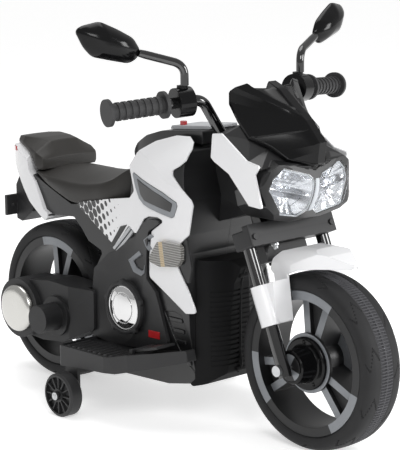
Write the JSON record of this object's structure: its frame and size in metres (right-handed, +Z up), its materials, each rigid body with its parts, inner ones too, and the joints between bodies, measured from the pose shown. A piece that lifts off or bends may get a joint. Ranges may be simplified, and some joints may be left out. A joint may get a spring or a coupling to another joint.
{
  "type": "kids electric motorbike",
  "caption": "Child's battery ride-on motorbike with steered front fork, geared rear wheel, training wheels, pedal switch, folding-angle mirrors and moulded fairings.",
  "frame": {"origin": "on the ground, midway along the whole length, in the middle plane", "axes": "+X to the front, +Y to the rider's left, +Z up"},
  "size_m": [0.9279, 0.6038, 0.6993],
  "materials": {
    "black_plastic": "moulded, fine matte grain",
    "white_gloss": "glossy moulded",
    "black_steel": "gloss black paint on tube",
    "light_grey_plastic": "satin moulded",
    "red_plastic": "clear red moulded",
    "silver_plastic": "silver-grey painted plastic",
    "clear_lens": "clear moulded lens",
    "chrome_plating": "bright plating on plastic",
    "seat_cover": "leather-grained moulded seat",
    "tyre_rubber": "matte black foam rubber",
    "roller_plastic": "moulded",
    "nylon": "natural nylon",
    "bright_steel": "zinc-bright",
    "battery_case": "moulded case",
    "cable_rubber": "sheathed lead",
    "grip_rubber": "ribbed grip",
    "mirror_face": "mirror film"
  },
  "bodies": {
    "chassis": {"body_shell_right": "black_plastic", "body_shell_left": "black_plastic", "side_panel_right": "white_gloss", "side_panel_left": "white_gloss", "tank_cover": "black_plastic", "dash_panel": "light_grey_plastic", "tank_trims": "silver_plastic", "side_lamps": "clear_lens", "frame_spars": "black_plastic", "engine_discs": "chrome_plating", "seat_pad": "seat_cover", "pillion_pad": "seat_cover", "tail_cowl": "white_gloss", "tail_lamp": "red_plastic", "plate_holder": "black_plastic", "radiator_block": "black_plastic", "motor": "bright_steel", "swing_arm_right": "black_plastic", "swing_arm_left": "black_plastic", "rear_axle": "bright_steel", "hub_caps": "chrome_plating", "battery": "battery_case", "battery_lead": "cable_rubber", "footrest_right": "black_plastic", "footrest_left": "black_plastic", "training_brackets": "black_plastic", "steering_head": "black_plastic", "steering_bushes": "nylon"},
    "steering": {"fork_tubes": "black_steel", "lower_clamp": "black_plastic", "clamp_screws": "bright_steel", "steering_stem": "black_steel", "front_axle": "bright_steel", "front_fender": "white_gloss", "handlebar": "black_steel", "upper_clamp": "black_plastic", "grips": "grip_rubber", "mirror_clamps": "black_plastic", "headlamp_housing": "black_plastic", "headlamp_lens": "clear_lens", "headlamp_reflector": "chrome_plating", "cowl_wings": "white_gloss", "windscreen": "black_plastic"},
    "front_wheel": {"front_tyre": "tyre_rubber", "front_rim": "silver_plastic"},
    "rear_wheel": {"rear_tyre": "tyre_rubber", "rear_rim": "silver_plastic", "drive_gear": "nylon"},
    "idler": {"idler_gear": "nylon"},
    "pinion": {"motor_pinion": "bright_steel"},
    "training_right": {"training_wheel_right": "roller_plastic"},
    "training_left": {"training_wheel_left": "roller_plastic"},
    "mirror_right": {"mirror_stem_right": "black_steel", "mirror_head_right": "black_plastic", "mirror_glass_right": "mirror_face"},
    "mirror_left": {"mirror_stem_left": "black_steel", "mirror_head_left": "black_plastic", "mirror_glass_left": "mirror_face"},
    "pedal": {"accelerator_pedal": "black_plastic"},
    "button": {"power_button": "red_plastic"}
  },
  "joints": [
    {"name": "steering", "type": "hinge", "parent": "chassis", "child": "steering", "pos_m": [0.19378, 0, 0.3698], "axis": [-0.3812, 0, 0.9245], "range_deg": [-25, 25]},
    {"name": "front_wheel_spin", "type": "hinge", "parent": "steering", "child": "front_wheel", "pos_m": [0.31892, 0, 0.145], "axis": [0, 1, 0], "continuous": true},
    {"name": "rear_wheel_spin", "type": "hinge", "parent": "chassis", "child": "rear_wheel", "pos_m": [-0.31902, 0, 0.145], "axis": [0, 1, 0], "continuous": true},
    {"name": "idler_spin", "type": "hinge", "parent": "chassis", "child": "idler", "pos_m": [-0.26802, -0.069, 0.145], "axis": [0, 1, 0], "continuous": true},
    {"name": "motor_spin", "type": "hinge", "parent": "chassis", "child": "pinion", "pos_m": [-0.22152, -0.09, 0.145], "axis": [0, 1, 0], "continuous": true},
    {"name": "training_spin_right", "type": "hinge", "parent": "chassis", "child": "training_right", "pos_m": [-0.11202, -0.185, 0.038], "axis": [0, 1, 0], "continuous": true},
    {"name": "training_spin_left", "type": "hinge", "parent": "chassis", "child": "training_left", "pos_m": [-0.11202, 0.185, 0.038], "axis": [0, 1, 0], "continuous": true},
    {"name": "mirror_swivel_right", "type": "hinge", "parent": "steering", "child": "mirror_right", "pos_m": [0.14189, -0.132, 0.58672], "axis": [0, 0, 1], "range_deg": [-30, 30]},
    {"name": "mirror_swivel_left", "type": "hinge", "parent": "steering", "child": "mirror_left", "pos_m": [0.14189, 0.132, 0.58672], "axis": [0, 0, 1], "range_deg": [-30, 30]},
    {"name": "pedal_press", "type": "hinge", "parent": "chassis", "child": "pedal", "pos_m": [0.024, -0.121, 0.131], "axis": [0, 1, 0], "range_deg": [0, 7], "stiffness_Nm_per_rad": 2, "springref_deg": -5.73},
    {"name": "button_press", "type": "slide", "parent": "chassis", "child": "button", "axis": [0, 0, -1], "range_m": [0, 0.002], "stiffness_N_per_m": 800, "springref_m": -0.001}
  ],
  "couplings": [
    {"joint": "idler_spin", "follows": "rear_wheel_spin", "ratio": -2.4},
    {"joint": "motor_spin", "follows": "rear_wheel_spin", "ratio": 8.2286}
  ]
}
